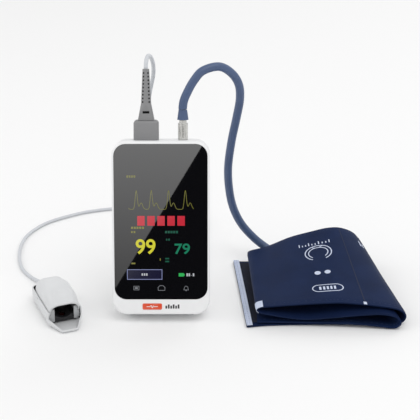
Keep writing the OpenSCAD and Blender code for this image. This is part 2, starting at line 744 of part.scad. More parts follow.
// The cuff is a strip doubled over and folded again. Both lists follow its middle
// from the inner free end, round the inner roll, the left fold and the outer wrap
// to the bound free end: one along the near edge, the other along the far edge.
cuff_near = [
    [78, -22, 3.7], [100, -22, 3.6], [130, -23, 3.6], [158, -25, 3.6], [178, -27, 2.6],
    [188, -28, 1.8], [193, -28.5, 4.2], [193.6, -28, 8], [189, -27, 11.6],
    [178, -26, 13.2], [158, -25, 11.6], [138, -24, 9], [118, -23, 7],
    [102, -22.5, 8.4], [89, -22, 10.6], [81, -21.5, 12.2], [78, -20.5, 14.3],
    [81, -20, 16.2], [90, -20, 17.2], [112, -20.5, 19.2], [134, -21, 20.8],
    [147, -21, 21], [168, -21, 19], [186, -21.5, 16.6], [194, -21.5, 14.2],
    [198.4, -21.5, 10], [197, -21.5, 4.6], [190.5, -21, 1.3], [178, -20.5, 1.2],
    [150, -20.5, 1.2], [110, -21, 1.2], [86, -22.4, 1.2], [74.3, -24.2, 1.2],
    [69.5, -25, 1.2]
];
cuff_far = [
    [80, 88, 3.7], [98, 88, 3.6], [118, 88, 3.6], [138, 88, 3.6], [152, 88, 4],
    [160, 88, 5.4], [165, 88, 9.4], [165, 88, 15], [160.5, 88, 22], [152, 88, 27],
    [144, 88, 28.2], [132, 88, 25.4], [118, 88, 20.8], [104, 88, 15.8],
    [90, 88, 12.2], [77, 88, 9.6], [73.4, 88, 11.1], [76, 88, 13.4], [90, 88, 17.4],
    [110, 88, 26.4], [128, 88, 31.8], [142, 88, 35.4], [153, 88, 35.6],
    [163.5, 88, 31.6], [169.5, 88, 25], [172.4, 88, 16], [170.6, 88, 7.4],
    [164, 88, 2.2], [154, 88.5, 1.2], [132, 89, 1.2], [104, 89.5, 1.2],
    [84, 90, 1.2], [65.3, 90.4, 1.2],
    [60.5, 90.5, 1.2]
];
band_steps = 3;
band_rows = 6;
band_near = spline(cuff_near, band_steps);
band_far = spline(cuff_far, band_steps);
band_n = len(band_near);

function band_mid(i, v) = band_near[i] * (1 - v) + band_far[i] * v;
// Outward normal of the strip: the side that faces up on the top layer.
function band_normal(i, v) = let (
    along = band_mid(min(i + 1, band_n - 1), v) - band_mid(max(i - 1, 0), v),
    across = band_far[i] - band_near[i]
) unit(cross(along, across));
function band_point(i, v, off) = band_mid(i, v) + off * band_normal(i, v);

// One layer of the strip between two offsets, over rings i0 to i1 and widths v0 to v1.
module band(i0, i1, v0, v1, off0, off1) {
    rows = band_rows;
    m = rows + 1;
    n = i1 - i0 + 1;
    v = [for (j = [0 : rows]) v0 + (v1 - v0) * j / rows];
    points = concat(
        [for (i = [i0 : i1], j = [0 : rows]) band_point(i, v[j], off1)],
        [for (i = [i0 : i1], j = [0 : rows]) band_point(i, v[j], off0)]
    );
    low = n * m;
    top = [for (i = [0 : n - 2], j = [0 : rows - 1]) each [
        [i * m + j, i * m + j + 1, (i + 1) * m + j + 1],
        [i * m + j, (i + 1) * m + j + 1, (i + 1) * m + j]]];
    bottom = [for (f = top) [low + f[2], low + f[1], low + f[0]]];
    sides = [for (i = [0 : n - 2]) each [
        [i * m, (i + 1) * m, low + (i + 1) * m, low + i * m],
        [low + i * m + rows, low + (i + 1) * m + rows, (i + 1) * m + rows, i * m + rows]]];
    ends = [for (j = [0 : rows - 1]) each [
        [low + j, low + j + 1, j + 1, j],
        [(n - 1) * m + j, (n - 1) * m + j + 1, low + (n - 1) * m + j + 1,
            low + (n - 1) * m + j]]];
    polyhedron(points, concat(top, bottom, sides, ends));
}

module cuff_outer_fabric() color("midnightblue")
    band(0, band_n - 1, 0, 1, fabric_in, fabric_out);
module cuff_inner_fabric() color("midnightblue")
    band(0, band_n - 1, 0, 1, -fabric_out, -fabric_in);
module cuff_bladder() color("dimgray")
    band(30, 66, 0.08, 0.92, -bladder_half, bladder_half);
module cuff_end_binding() color("lightsteelblue")
    band(band_n - 4, band_n - 1, 0, 1, -fabric_out - 0.5, -fabric_out);
module cuff_index_tag() color("white")
    band(46, 51, 0, 0.09, fabric_out + 0.06, fabric_out + 0.36);

// Stub in the cuff's rear edge that the hose pushes onto.
module cuff_port() color("steelblue") translate([100.5, 83.4, 8.4])
    rotate([90, 0, 18]) cylinder(r = 2.6, h = 7);

front_shell();
rear_shell();
shell_gasket();
cover_glass();
display_module();
touch_key_board();
mid_frame();
main_board();
sensor_board();
battery_pack();
battery_door();
door_screws();
shell_screws();
speaker();
pump_motor();
pump_shaft();
inner_air_tube();
release_valve();
valve_plunger();
power_button();
power_switch();
usb_socket();
usb_flap();
clamp_insert();
name_badge();
base_foot();
stand_leg();
stand_tip();
stand_pin();
sensor_socket();
sensor_plug();
plug_boot();
hose_port();
hose_core();
hose_collar();
hose_sleeve();
air_hose();
sensor_cable();
cable_coil();
sensor_lead();
lead_boot();
clip_lower_shell();
clip_lower_pad();
clip_detector();
clip_guards();
clip_upper_shell();
clip_upper_pad();
clip_emitter();
clip_pin();
clip_spring();
cuff_outer_fabric();
cuff_bladder();
cuff_inner_fabric();
cuff_end_binding();
cuff_index_tag();
cuff_port();
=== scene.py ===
"""Handheld patient monitor on its stand, with a finger sensor and an arm cuff."""
import json
import math

import bmesh
import bpy
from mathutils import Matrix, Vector, noise

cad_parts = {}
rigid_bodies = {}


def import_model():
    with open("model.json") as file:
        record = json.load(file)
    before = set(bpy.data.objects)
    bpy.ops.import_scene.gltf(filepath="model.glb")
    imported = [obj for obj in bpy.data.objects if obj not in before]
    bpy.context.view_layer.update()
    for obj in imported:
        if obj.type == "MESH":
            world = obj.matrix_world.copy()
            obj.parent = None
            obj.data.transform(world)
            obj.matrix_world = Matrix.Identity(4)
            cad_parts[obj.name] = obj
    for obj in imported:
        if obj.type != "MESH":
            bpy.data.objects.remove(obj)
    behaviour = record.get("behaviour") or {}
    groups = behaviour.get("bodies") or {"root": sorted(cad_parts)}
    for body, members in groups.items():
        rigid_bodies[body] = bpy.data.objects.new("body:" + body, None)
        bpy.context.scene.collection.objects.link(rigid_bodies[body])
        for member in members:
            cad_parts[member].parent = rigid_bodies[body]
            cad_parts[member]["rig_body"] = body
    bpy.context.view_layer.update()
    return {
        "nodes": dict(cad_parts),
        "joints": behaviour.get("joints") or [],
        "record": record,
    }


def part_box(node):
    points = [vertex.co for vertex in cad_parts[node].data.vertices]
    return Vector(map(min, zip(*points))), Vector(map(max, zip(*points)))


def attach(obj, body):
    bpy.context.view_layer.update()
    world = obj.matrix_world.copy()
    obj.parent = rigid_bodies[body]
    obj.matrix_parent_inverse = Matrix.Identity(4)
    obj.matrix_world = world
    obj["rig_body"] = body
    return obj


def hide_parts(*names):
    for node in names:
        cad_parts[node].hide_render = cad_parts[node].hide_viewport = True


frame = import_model()
nodes = frame["nodes"]
MM = 0.001

# The case leans back. Its frame comes from the clamp thread, which points out of its back.
THREAD_DEPTH = 24
THREAD_HEIGHT = 110
mounts = {m["name"]: m for m in frame["record"]["mounts"]}
case_back = Vector(mounts["clamp_thread"]["axis"]).normalized()
case_up = Vector((1, 0, 0)).cross(case_back)
case_origin = (Vector(mounts["clamp_thread"]["pos_m"])
               - THREAD_DEPTH * MM * case_back - THREAD_HEIGHT * MM * case_up)


def case(x, y, z):
    """A point of the case's own frame, in millimetres, as a place in the row frame."""
    return case_origin + Vector((x * MM, 0, 0)) + y * MM * case_back + z * MM * case_up


# The clip's frame comes from its jaw's pin, which lies along its -X.
JAW_Y, JAW_Z = 14, 12
jaw = next(j for j in frame["joints"] if j["name"] == "clip_jaw")
clip_right = -Vector(jaw["axis"]).normalized()
clip_back = Vector((0, 0, 1)).cross(clip_right)
clip_origin = Vector(jaw["pos_m"]) - JAW_Y * MM * clip_back - Vector((0, 0, JAW_Z * MM))
LEAD_BOOT_AT = Vector((0, 35, 11.2))
LEAD_BOOT_L = 10
LEAD_SLOPE = math.radians(16)
LEAD_BOOT_AXIS = Vector((0, math.cos(LEAD_SLOPE), -math.sin(LEAD_SLOPE)))


def clip(x, y, z):
    """A point of the clip's own frame, in millimetres, as a place in the row frame."""
    return clip_origin + x * MM * clip_right + y * MM * clip_back + Vector((0, 0, z * MM))


# ---- materials ----

def shader(name, color, rough, metallic=0.0, **sockets):
    """A Principled material and its node tree."""
    mat = bpy.data.materials.new(name)
    mat.use_nodes = True
    tree = mat.node_tree
    bsdf = tree.nodes["Principled BSDF"]
    bsdf.inputs["Base Color"].default_value = (*color, 1)
    bsdf.inputs["Roughness"].default_value = rough
    bsdf.inputs["Metallic"].default_value = metallic
    for socket, value in sockets.items():
        bsdf.inputs[socket.replace("_", " ")].default_value = value
    return mat, tree, bsdf


def add_noise(tree, scale, detail=3.0, kind="Object"):
    coords = tree.nodes.new("ShaderNodeTexCoord")
    tex = tree.nodes.new("ShaderNodeTexNoise")
    tex.inputs["Scale"].default_value = scale
    tex.inputs["Detail"].default_value = detail
    tree.links.new(coords.outputs[kind], tex.inputs["Vector"])
    return tex


def vary_color(tree, bsdf, color, spread, scale):
    """Mottles the base colour a little."""
    tex = add_noise(tree, scale)
    ramp = tree.nodes.new("ShaderNodeValToRGB")
    ramp.color_ramp.elements[0].position = 0.3
    ramp.color_ramp.elements[0].color = (*[c * (1 - spread) for c in color], 1)
    ramp.color_ramp.elements[1].position = 0.7
    ramp.color_ramp.elements[1].color = (*[min(1, c * (1 + spread)) for c in color], 1)
    tree.links.new(tex.outputs["Fac"], ramp.inputs["Fac"])
    tree.links.new(ramp.outputs["Color"], bsdf.inputs["Base Color"])


def vary_rough(tree, bsdf, low, high, scale):
    tex = add_noise(tree, scale)
    mapped = tree.nodes.new("ShaderNodeMapRange")
    mapped.inputs["To Min"].default_value = low
    mapped.inputs["To Max"].default_value = high
    tree.links.new(tex.outputs["Fac"], mapped.inputs["Value"])
    tree.links.new(mapped.outputs["Result"], bsdf.inputs["Roughness"])


def add_bump(tree, bsdf, height, distance, strength=1.0):
    bump = tree.nodes.new("ShaderNodeBump")
    bump.inputs["Distance"].default_value = distance
    bump.inputs["Strength"].default_value = strength
    tree.links.new(height, bump.inputs["Height"])
    tree.links.new(bump.outputs["Normal"], bsdf.inputs["Normal"])


def plastic(name, color, rough, grain=1400, depth=0.00002, spread=0.02, **sockets):
    mat, tree, bsdf = shader(name, color, rough, **sockets)
    vary_color(tree, bsdf, color, spread, 60)
    vary_rough(tree, bsdf, rough - 0.04, rough + 0.05, 240)
    add_bump(tree, bsdf, add_noise(tree, grain, 2).outputs["Fac"], depth, 0.5)
    return mat


def turned_metal(name, color, rough, scale=900):
    mat, tree, bsdf = shader(name, color, rough, metallic=1.0)
    vary_rough(tree, bsdf, rough - 0.07, rough + 0.08, 500)
    coords = tree.nodes.new("ShaderNodeTexCoord")
    wave = tree.nodes.new("ShaderNodeTexWave")
    wave.bands_direction = "Z"
    wave.inputs["Scale"].default_value = scale
    wave.inputs["Distortion"].default_value = 1.5
    tree.links.new(coords.outputs["Object"], wave.inputs["Vector"])
    add_bump(tree, bsdf, wave.outputs["Fac"], 0.00001, 0.4)
    return mat


def woven(name, color, rough, threads, depth, sheen=0.2, spread=0.12):
    """Plain weave that follows the cloth's own millimetre UVs."""
    mat, tree, bsdf = shader(name, color, rough)
    bsdf.inputs["Sheen Weight"].default_value = sheen
    bsdf.inputs["Sheen Roughness"].default_value = 0.4
    bsdf.inputs["Specular IOR Level"].default_value = 0.06
    bsdf.inputs["Sheen Tint"].default_value = (0.5, 0.62, 1.0, 1)
    vary_color(tree, bsdf, color, spread, 45)
    coords = tree.nodes.new("ShaderNodeTexCoord")
    waves = []
    for direction in ("X", "Y"):
        wave = tree.nodes.new("ShaderNodeTexWave")
        wave.bands_direction = direction
        wave.inputs["Scale"].default_value = threads
        tree.links.new(coords.outputs["UV"], wave.inputs["Vector"])
        waves.append(wave)
    both = tree.nodes.new("ShaderNodeMath")
    both.operation = "MAXIMUM"
    tree.links.new(waves[0].outputs["Fac"], both.inputs[0])
    tree.links.new(waves[1].outputs["Fac"], both.inputs[1])
    add_bump(tree, bsdf, both.outputs["Value"], depth, 0.6)
    return mat


def lit(name, color, strength):
    """A glowing mark of the display, behind glass."""
    mat, tree, bsdf = shader(name, [c * 0.2 for c in color], 0.12)
    bsdf.inputs["Emission Color"].default_value = (*color, 1)
    pixels = add_noise(tree, 2500, 0)
    mapped = tree.nodes.new("ShaderNodeMapRange")
    mapped.inputs["To Min"].default_value = strength * 0.85
    mapped.inputs["To Max"].default_value = strength * 1.1
    tree.links.new(pixels.outputs["Fac"], mapped.inputs["Value"])
    tree.links.new(mapped.outputs["Result"], bsdf.inputs["Emission Strength"])
    return mat


case_white = plastic("case_white", (0.84, 0.845, 0.85), 0.32, Coat_Weight=0.15)
gasket_gray = plastic("gasket_gray", (0.42, 0.43, 0.45), 0.6, grain=2200, spread=0.06)
glass_black, tree, bsdf = shader("glass_black", (0.004, 0.004, 0.005), 0.05, IOR=1.52)
vary_rough(tree, bsdf, 0.008, 0.016, 30)
display_black = plastic("display_black", (0.02, 0.02, 0.024), 0.5)
board_green = plastic("board_green", (0.02, 0.14, 0.06), 0.35, spread=0.25)
sheet_metal = turned_metal("sheet_metal", (0.62, 0.63, 0.64), 0.38)
steel = turned_metal("steel", (0.66, 0.655, 0.63), 0.24)
battery_blue = plastic("battery_blue", (0.04, 0.05, 0.09), 0.4)
black_plastic = plastic("black_plastic", (0.025, 0.025, 0.028), 0.5)
silicone = plastic("silicone", (0.62, 0.63, 0.64), 0.45)
key_gray = plastic("key_gray", (0.52, 0.53, 0.55), 0.42)
brass = turned_metal("brass", (0.66, 0.46, 0.18), 0.3)
badge_red = plastic("badge_red", (0.72, 0.07, 0.02), 0.25, Coat_Weight=0.5)
badge_white = plastic("badge_white", (0.85, 0.85, 0.85), 0.3)
badge_dark = plastic("badge_dark", (0.03, 0.03, 0.035), 0.4)
plug_gray = plastic("plug_gray", (0.235, 0.235, 0.24), 0.5, grain=1800, depth=0.00003)
# Near-black material for the strain relief's slot walls: painted shade in the slots.
slot_dark = plastic("slot_dark", (0.006, 0.006, 0.007), 0.8)
hose_blue = plastic("hose_blue", (0.062, 0.098, 0.195), 0.4, spread=0.06)
cable_gray = plastic("cable_gray", (0.60, 0.62, 0.65), 0.42)
clip_gray = plastic("clip_gray", (0.66, 0.67, 0.68), 0.38)
pad_gray = plastic("pad_gray", (0.014, 0.014, 0.016), 0.55, spread=0.08)
guard_gray = plastic("guard_gray", (0.42, 0.43, 0.44), 0.3)
# Near-black material for the clip shells' inner faces: painted shade inside the clip.
clip_dark = plastic("clip_dark", (0.012, 0.012, 0.013), 0.6)
window_red = plastic("window_red", (0.03, 0.002, 0.002), 0.2, Coat_Weight=0.4)
navy = woven("navy", (0.0085, 0.0185, 0.060), 0.5, 0.55, 0.00006, sheen=0)
navy_inner = woven("navy_inner", (0.0065, 0.0145, 0.050), 0.55, 0.55, 0.00006, sheen=0)
binding = woven("binding", (0.60, 0.66, 0.80), 0.75, 0.8, 0.00015, sheen=0.4, spread=0.07)
fuzzy, tree, bsdf = shader("fuzzy", (0.004, 0.0065, 0.02), 0.95)
vary_color(tree, bsdf, (0.004, 0.0065, 0.02), 0.5, 900)
add_bump(tree, bsdf, add_noise(tree, 1600, 6).outputs["Fac"], 0.0004)
bladder_film = plastic("bladder_film", (0.05, 0.05, 0.055), 0.35)
print_white = plastic("print_white", (0.55, 0.61, 0.76), 0.55, spread=0.05)
seam_blue = plastic("seam_blue", (0.003, 0.008, 0.036), 0.7, grain=3000, depth=0.00005)
thread_navy = plastic("thread_navy", (0.02, 0.035, 0.10), 0.7, grain=3000, depth=0.00005)
thread_blue = plastic("thread_blue", (0.05, 0.09, 0.28), 0.7, grain=3000, depth=0.00005)
lit_yellow = lit("lit_yellow", (0.56, 0.53, 0.02), 0.9)
lit_amber = lit("lit_amber", (0.20, 0.19, 0.03), 0.8)
lit_olive = lit("lit_olive", (0.16, 0.155, 0.02), 0.7)
lit_teal = lit("lit_teal", (0.008, 0.17, 0.09), 0.9)
lit_dim_teal = lit("lit_dim_teal", (0.008, 0.09, 0.055), 0.8)
lit_red = lit("lit_red", (0.50, 0.012, 0.03), 0.85)
lit_white = lit("lit_white", (0.6, 0.62, 0.66), 0.6)
lit_navy = lit("lit_navy", (0.006, 0.006, 0.03), 0.7)
lit_lilac = lit("lit_lilac", (0.26, 0.29, 0.52), 0.7)
lit_green = lit("lit_green", (0.03, 0.40, 0.09), 0.85)
key_print = plastic("key_print", (0.20, 0.21, 0.23), 0.4)


# ---- mesh helpers ----

def finish_mesh(mesh, material, sharp_deg=38):
    mesh.materials.clear()
    mesh.materials.append(material)
    for polygon in mesh.polygons:
        polygon.use_smooth = True
        polygon.material_index = 0
    mesh.set_sharp_from_angle(angle=math.radians(sharp_deg))
    mesh.update()


def piece(name, verts, faces, material, body="main", sharp_deg=38, uvs=None):
    """A mesh in the row frame, in metres, that rides on a body."""
    mesh = bpy.data.meshes.new(name)
    mesh.from_pydata([tuple(v) for v in verts], [], faces)
    if uvs:
        layer = mesh.uv_layers.new(name="UVMap")
        for loop in mesh.loops:
            layer.data[loop.index].uv = uvs[loop.vertex_index]
    bm = bmesh.new()
    bm.from_mesh(mesh)
    bmesh.ops.recalc_face_normals(bm, faces=bm.faces)
    bm.to_mesh(mesh)
    bm.free()
    finish_mesh(mesh, material, sharp_deg)
    obj = bpy.data.objects.new(name, mesh)
    bpy.context.scene.collection.objects.link(obj)
    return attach(obj, body)


# Faces larger than this, in square millimetres, and with more corners than this are shaded flat.
FLAT_AREA, FLAT_CORNERS = 100, 8


def dress(node, material, edge=0.2, segments=2, sharp_deg=38):
    """A node's own shape with its edges softened by edge millimetres."""
    source = nodes[node]
    bm = bmesh.new()
    bm.from_mesh(source.data)
    bmesh.ops.remove_doubles(bm, verts=bm.verts, dist=1e-6)
    bmesh.ops.dissolve_limit(bm, angle_limit=math.radians(0.4), verts=bm.verts, edges=bm.edges)
    if edge:
        crisp = [e for e in bm.edges if len(e.link_faces) == 2
                 and e.calc_face_angle(0) > math.radians(35)]
        bmesh.ops.bevel(bm, geom=crisp, offset=edge * MM, offset_type="OFFSET",
                        segments=segments, profile=0.5, affect="EDGES", clamp_overlap=True)
    mesh = bpy.data.meshes.new(node + "_skin")
    bm.to_mesh(mesh)
    bm.free()
    finish_mesh(mesh, material, sharp_deg)
    for polygon in mesh.polygons:
        if polygon.area > FLAT_AREA * MM * MM and len(polygon.vertices) > FLAT_CORNERS:
            polygon.use_smooth = False
    obj = bpy.data.objects.new(node + "_skin", mesh)
    bpy.context.scene.collection.objects.link(obj)
    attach(obj, source["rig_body"])
    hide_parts(node)
    return obj


def smooth_points(points, steps):
    """Catmull-Rom curve through the points."""
    n = len(points)
    out = []
    for i in range(n - 1):
        a, b = points[max(i - 1, 0)], points[i]
        c, d = points[i + 1], points[min(i + 2, n - 1)]
        for j in range(steps):
            t = j / steps
            out.append(0.5 * (2 * b + (c - a) * t + (2 * a - 5 * b + 4 * c - d) * t * t
                              + (3 * b - a - 3 * c + d) * t ** 3))
    out.append(points[-1].copy())
    return out


def sweep(path, radius, sides, bulge=None):
    """Rings round a path, capped. bulge(i) scales the radius at ring i."""
    verts, faces = [], []
    normal = Vector((0.31, 0.62, 0.72))
    n = len(path)
    for i, p in enumerate(path):
        tangent = (path[min(i + 1, n - 1)] - path[max(i - 1, 0)]).normalized()
        normal = (normal - tangent * normal.dot(tangent)).normalized()
        side = tangent.cross(normal)
        r = radius * (bulge(i) if bulge else 1)
        for j in range(sides):
            a = 2 * math.pi * j / sides
            verts.append(p + r * (math.cos(a) * normal + math.sin(a) * side))
    for i in range(n - 1):
        for j in range(sides):
            k = (j + 1) % sides
            faces.append((i * sides + j, (i + 1) * sides + j, (i + 1) * sides + k, i * sides + k))
    faces.append(tuple(range(sides)))
    faces.append(tuple((n - 1) * sides + j for j in reversed(range(sides))))
    return verts, faces


# ---- camera ----

camera = bpy.data.objects.new("camera", bpy.data.cameras.new("camera"))
bpy.context.scene.collection.objects.link(camera)
camera.location = (0.0397, -1.0152, 0.5675)
camera.rotation_euler = (math.radians(65), 0, 0)
camera.data.sensor_width = 36
camera.data.lens = 120.1
camera.data.clip_end = 50
bpy.context.scene.camera = camera

# ---- cords ----

PORT_Y = 14
HOSE_X, HOSE_END_Z = 17.8, 166.1
hose_start = case(HOSE_X, PORT_Y, HOSE_END_Z + 0.4)
HOSE_ROUTE = [
    (18.6, 45.4, 170), (21.2, 47.6, 176), (26.6, 51, 185), (34, 55, 192.2), (47, 60, 194),
    (57, 64.5, 187), (63.2, 68, 176), (64.4, 71.5, 162), (61.9, 76, 144),
    (57.9, 81, 120.5), (55.2, 86.5, 93.5), (56.5, 91.5, 70), (60.3, 95.5, 51),
    (67.7, 99, 34), (79, 102, 19), (89.5, 100.5, 10.6), (97, 94, 8.4), (99.6, 86, 8.4),
    (100.4, 83.6, 8.4),
]
HOSE_R = 3.5
PLUG_X, BOOT_END_Z = -11.8, 198.9
boot_end = case(PLUG_X, PORT_Y, BOOT_END_Z + 0.3)
CABLE_ROUTE = [
    (-11.5, 55.6, 200.6), (-10.2, 60.4, 203), (-8.2, 66, 199.8), (-6.6, 70.8, 191.6),
    (-7, 74.8, 181), (-9.4, 77.6, 169), (-11.4, 80.6, 156), (-12.6, 85, 138),
    (-13, 91, 112), (-10.4, 98.6, 84), (-4, 107, 55), (5, 117, 29),
    (14.6, 128, 11), (22.8, 140, 3.4), (28.2, 151, 1.9),
]
LEAD_ROUTE = [
    (-104.6, 45.5, 5.2), (-109.5, 53, 2.7), (-116.5, 62.5, 1.6), (-124, 75, 1.6),
    (-128.3, 89, 1.6), (-130.8, 104, 1.6), (-131.5, 122, 1.6), (-129, 141, 1.6),
    (-121, 159, 1.6), (-110, 173, 1.6), (-94, 185, 1.6), (-78, 194, 1.6),
    (-60, 200, 1.6), (-40, 203, 1.6), (-20, 201, 1.6), (-6, 195, 2.2),
]
LEAD_R = 1.4
CABLE_R = 1.7
COIL_AT = (7, 168)
COIL_IN, COIL_OUT = 13.3, 23.5
COIL_TURNS = 3


def coil_points():
    """Two flat spirals, one on the other, inwards and then outwards."""
    steps = 20
    angle, out = -22.0, []
    total = COIL_TURNS * steps
    for i in range(total + 1):
        out.append((angle, COIL_OUT - (COIL_OUT - COIL_IN) * i / total, CABLE_R + 0.1))
        angle += 360 / steps
    for i in range(1, 3):
        out.append((angle, COIL_IN, CABLE_R + 0.1 + 3.45 * i / 2))
        angle += 20
    for i in range(total + 1):
        out.append((angle, COIL_IN + (COIL_OUT - COIL_IN) * i / total, CABLE_R + 3.55))
        angle += 360 / steps
    out.append((angle + 10, COIL_OUT + 0.3, CABLE_R + 3.4))
    return [Vector((COIL_AT[0] + r * math.cos(math.radians(a)),
                    COIL_AT[1] + r * math.sin(math.radians(a)), z)) * MM for a, r, z in out]


hose_points = [hose_start, case(HOSE_X, PORT_Y, HOSE_END_Z + 2.2)]
hose_points += [Vector(p) * MM for p in HOSE_ROUTE]
hose_path = smooth_points(hose_points, 8)
hose = piece("air_hose_tube", *sweep(hose_path, HOSE_R * MM, 32), hose_blue)
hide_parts("air_hose")

cable_points = [boot_end, case(PLUG_X, PORT_Y, BOOT_END_Z + 2.2)]
cable_points += [Vector(p) * MM for p in CABLE_ROUTE] + coil_points()
lead_from = 4 * len(cable_points)
cable_points += [Vector(p) * MM for p in reversed(LEAD_ROUTE)]
cable_points += [clip(*(LEAD_BOOT_AT + (LEAD_BOOT_L + on) * LEAD_BOOT_AXIS)) for on in (2.2, 0.3)]
cable_path = smooth_points(cable_points, 4)


def lead_taper(k):
    """Share of the cable's radius at ring k: the lead to the clip is thinner."""
    return 1 - (1 - LEAD_R / CABLE_R) * min(max((k - lead_from) / 12, 0), 1)


cable = piece("sensor_cable_tube", *sweep(cable_path, CABLE_R * MM, 16, bulge=lead_taper), cable_gray)
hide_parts("sensor_cable", "cable_coil", "sensor_lead")

# ---- case, stand and what is in them ----

for node, material, slot, edge in [
    ("front_shell", case_white, "case_plastic", 0.25),
    ("rear_shell", case_white, "case_plastic", 0.25),
    ("battery_door", case_white, "case_plastic", 0.25),
    ("stand_leg", case_white, "case_plastic", 0.4),
    ("shell_gasket", gasket_gray, "gray_rubber", 0),
    ("base_foot", gasket_gray, "gray_rubber", 0.3),
    ("stand_tip", gasket_gray, "gray_rubber", 0.3),
    ("usb_flap", gasket_gray, "gray_rubber", 0.15),
    ("cover_glass", glass_black, "cover_glass", 0.15),
    ("display_module", display_black, "display_body", 0.2),
    ("touch_key_board", board_green, "circuit_board", 0),
    ("main_board", board_green, "circuit_board", 0.1),
    ("sensor_board", board_green, "circuit_board", 0.1),
    ("mid_frame", sheet_metal, "frame_metal", 0.2),
    ("battery_pack", battery_blue, "battery_wrap", 0.2),
    ("door_screws", steel, "bright_steel", 0.1),
    ("shell_screws", steel, "bright_steel", 0.1),
    ("speaker", black_plastic, "dark_plastic", 0.2),
    ("pump_motor", sheet_metal, "frame_metal", 0.2),
    ("pump_shaft", steel, "bright_steel", 0.1),
    ("inner_air_tube", silicone, "clear_tube", 0.2),
    ("release_valve", black_plastic, "dark_plastic", 0.2),
    ("valve_plunger", steel, "bright_steel", 0.1),
    ("power_button", key_gray, "key_plastic", 0.3),
    ("power_switch", black_plastic, "dark_plastic", 0.1),
    ("usb_socket", steel, "bright_steel", 0.1),
    ("clamp_insert", brass, "insert_brass", 0.15),
    ("name_badge", badge_red, "badge_red", 0.1),
    ("stand_pin", steel, "bright_steel", 0.2),
    ("sensor_socket", black_plastic, "dark_plastic", 0.2),
    ("sensor_plug", plug_gray, "plug_gray", 0.2),
    ("plug_boot", plug_gray, "plug_gray", 0.12),
    ("hose_port", steel, "bright_steel", 0.1),
    ("hose_core", steel, "bright_steel", 0.15),
    ("hose_collar", steel, "bright_steel", 0.12),
    ("hose_sleeve", hose_blue, "hose_blue", 0),
    ("lead_boot", cable_gray, "cable_jacket", 0.25),
    ("clip_lower_shell", clip_gray, "clip_plastic", 0.25),
    ("clip_upper_shell", clip_gray, "clip_plastic", 0.25),
    ("clip_lower_pad", pad_gray, "pad_rubber", 0.4),
    ("clip_upper_pad", pad_gray, "pad_rubber", 0.4),
    ("clip_detector", window_red, "window_red", 0.15),
    ("clip_emitter", window_red, "window_red", 0.15),
    ("clip_guards", guard_gray, "clear_tube", 0.15),
    ("clip_pin", steel, "bright_steel", 0.15),
    ("clip_spring", steel, "bright_steel", 0),
    ("cuff_port", hose_blue, "hose_blue", 0.2),
]:
    dress(node, material, edge)



def paint_shade_inside(name, material, inside):
    """Gives a second material to the faces for which inside(centre, normal) holds; here it paints shade.
    """
    obj = bpy.data.objects[name]
    obj.data.materials.append(material)
    for polygon in obj.data.polygons:
        if inside(polygon.center, polygon.normal):
            polygon.material_index = 1


# In the clip's frame: its middle's height, where the painted shade inside it starts and half its width
# there.
CLIP_MID_Z = 13
CLIP_SHADE_Y = -14.6
CLIP_HALF = 13.5


def in_clip_shade(centre, normal):
    """True on the clip's inner faces behind its beak, where shade is painted."""
    rel = centre - clip_origin
    y = rel.dot(clip_back) / MM
    axis = clip(0, min(max(y, -8), 20), CLIP_MID_Z)
    inward = (axis - centre).dot(normal) > 0.3 * MM
    within = abs(rel.dot(clip_right)) < CLIP_HALF * MM
    return y > CLIP_SHADE_Y and normal.z < 0.7 and within and inward


def in_boot_slot_shade(centre, normal):
    """True on the walls of the strain relief's slots, where shade is painted."""
    rel = centre - case_origin
    up = rel.dot(case_up) / MM
    out = rel - up * MM * case_up - PLUG_X * MM * Vector((1, 0, 0)) - PORT_Y * MM * case_back
    cone = 4.2 - 1.5 * max(up - 170, 0) / 29
    return 161 < up < 198 and out.length / MM < cone - 0.22


# The clip shells' inner faces get a near-black material: painted shade inside the clip.
paint_shade_inside("clip_lower_shell_skin", clip_dark, in_clip_shade)
paint_shade_inside("clip_upper_shell_skin", clip_dark, in_clip_shade)
# The strain relief's slot walls get a near-black material: painted shade in the slots.
paint_shade_inside("plug_boot_skin", slot_dark, in_boot_slot_shade)

# ---- display ----

GLOW_Y = -0.04


def flat_shape(name, loops, material, thick=0.03, front=GLOW_Y):
    """Outlines in the case's plane, in millimetres, as one thin plate."""
    verts, faces = [], []
    for loop in loops:
        base = len(verts)
        n = len(loop)
        verts += [case(x, front, z) for x, z in loop]
        verts += [case(x, front + thick, z) for x, z in loop]
        faces.append(tuple(base + i for i in range(n)))
        faces.append(tuple(base + n + i for i in reversed(range(n))))
        for i in range(n):
            k = (i + 1) % n
            faces.append((base + i, base + n + i, base + n + k, base + k))
    obj = piece(name, verts, faces, material, sharp_deg=30)
    return obj


def rect(x0, x1, z0, z1):
    return [(x0, z0), (x1, z0), (x1, z1), (x0, z1)]


def frame_of(x0, x1, z0, z1, line):
    """Four bars round a rectangle."""
    return [rect(x0, x1, z0, z0 + line), rect(x0, x1, z1 - line, z1),
            rect(x0, x0 + line, z0 + line, z1 - line), rect(x1 - line, x1, z0 + line, z1 - line)]


def stroke(points, width):
    """Quads along a line."""
    out = []
    for (x0, z0), (x1, z1) in zip(points, points[1:]):
        dx, dz = x1 - x0, z1 - z0
        k = width / 2 / math.hypot(dx, dz)
        out.append([(x0 - dz * k, z0 + dx * k), (x0 + dz * k, z0 - dx * k),
                    (x1 + dz * k, z1 - dx * k), (x1 - dz * k, z1 + dx * k)])
    return out


def arc(cx, cz, r, a0, a1, n=12, squeeze=1.0):
    return [(cx + r * math.cos(math.radians(a0 + (a1 - a0) * i / n)),
             cz + squeeze * r * math.sin(math.radians(a0 + (a1 - a0) * i / n)))
            for i in range(n + 1)]


def pulse_height(t):
    """Height of a pulse wave at phase t: a quick rise, a fall and a small second wave."""
    rise = math.exp(-((t - 0.22) / 0.09) ** 2)
    second = 0.34 * math.exp(-((t - 0.52) / 0.13) ** 2)
    return rise + second


WAVE_PEAKS = [-32, -19.6, -7.5, 6.4, 19.9, 32]
WAVE_LOW, WAVE_HIGH = 87, 102.6


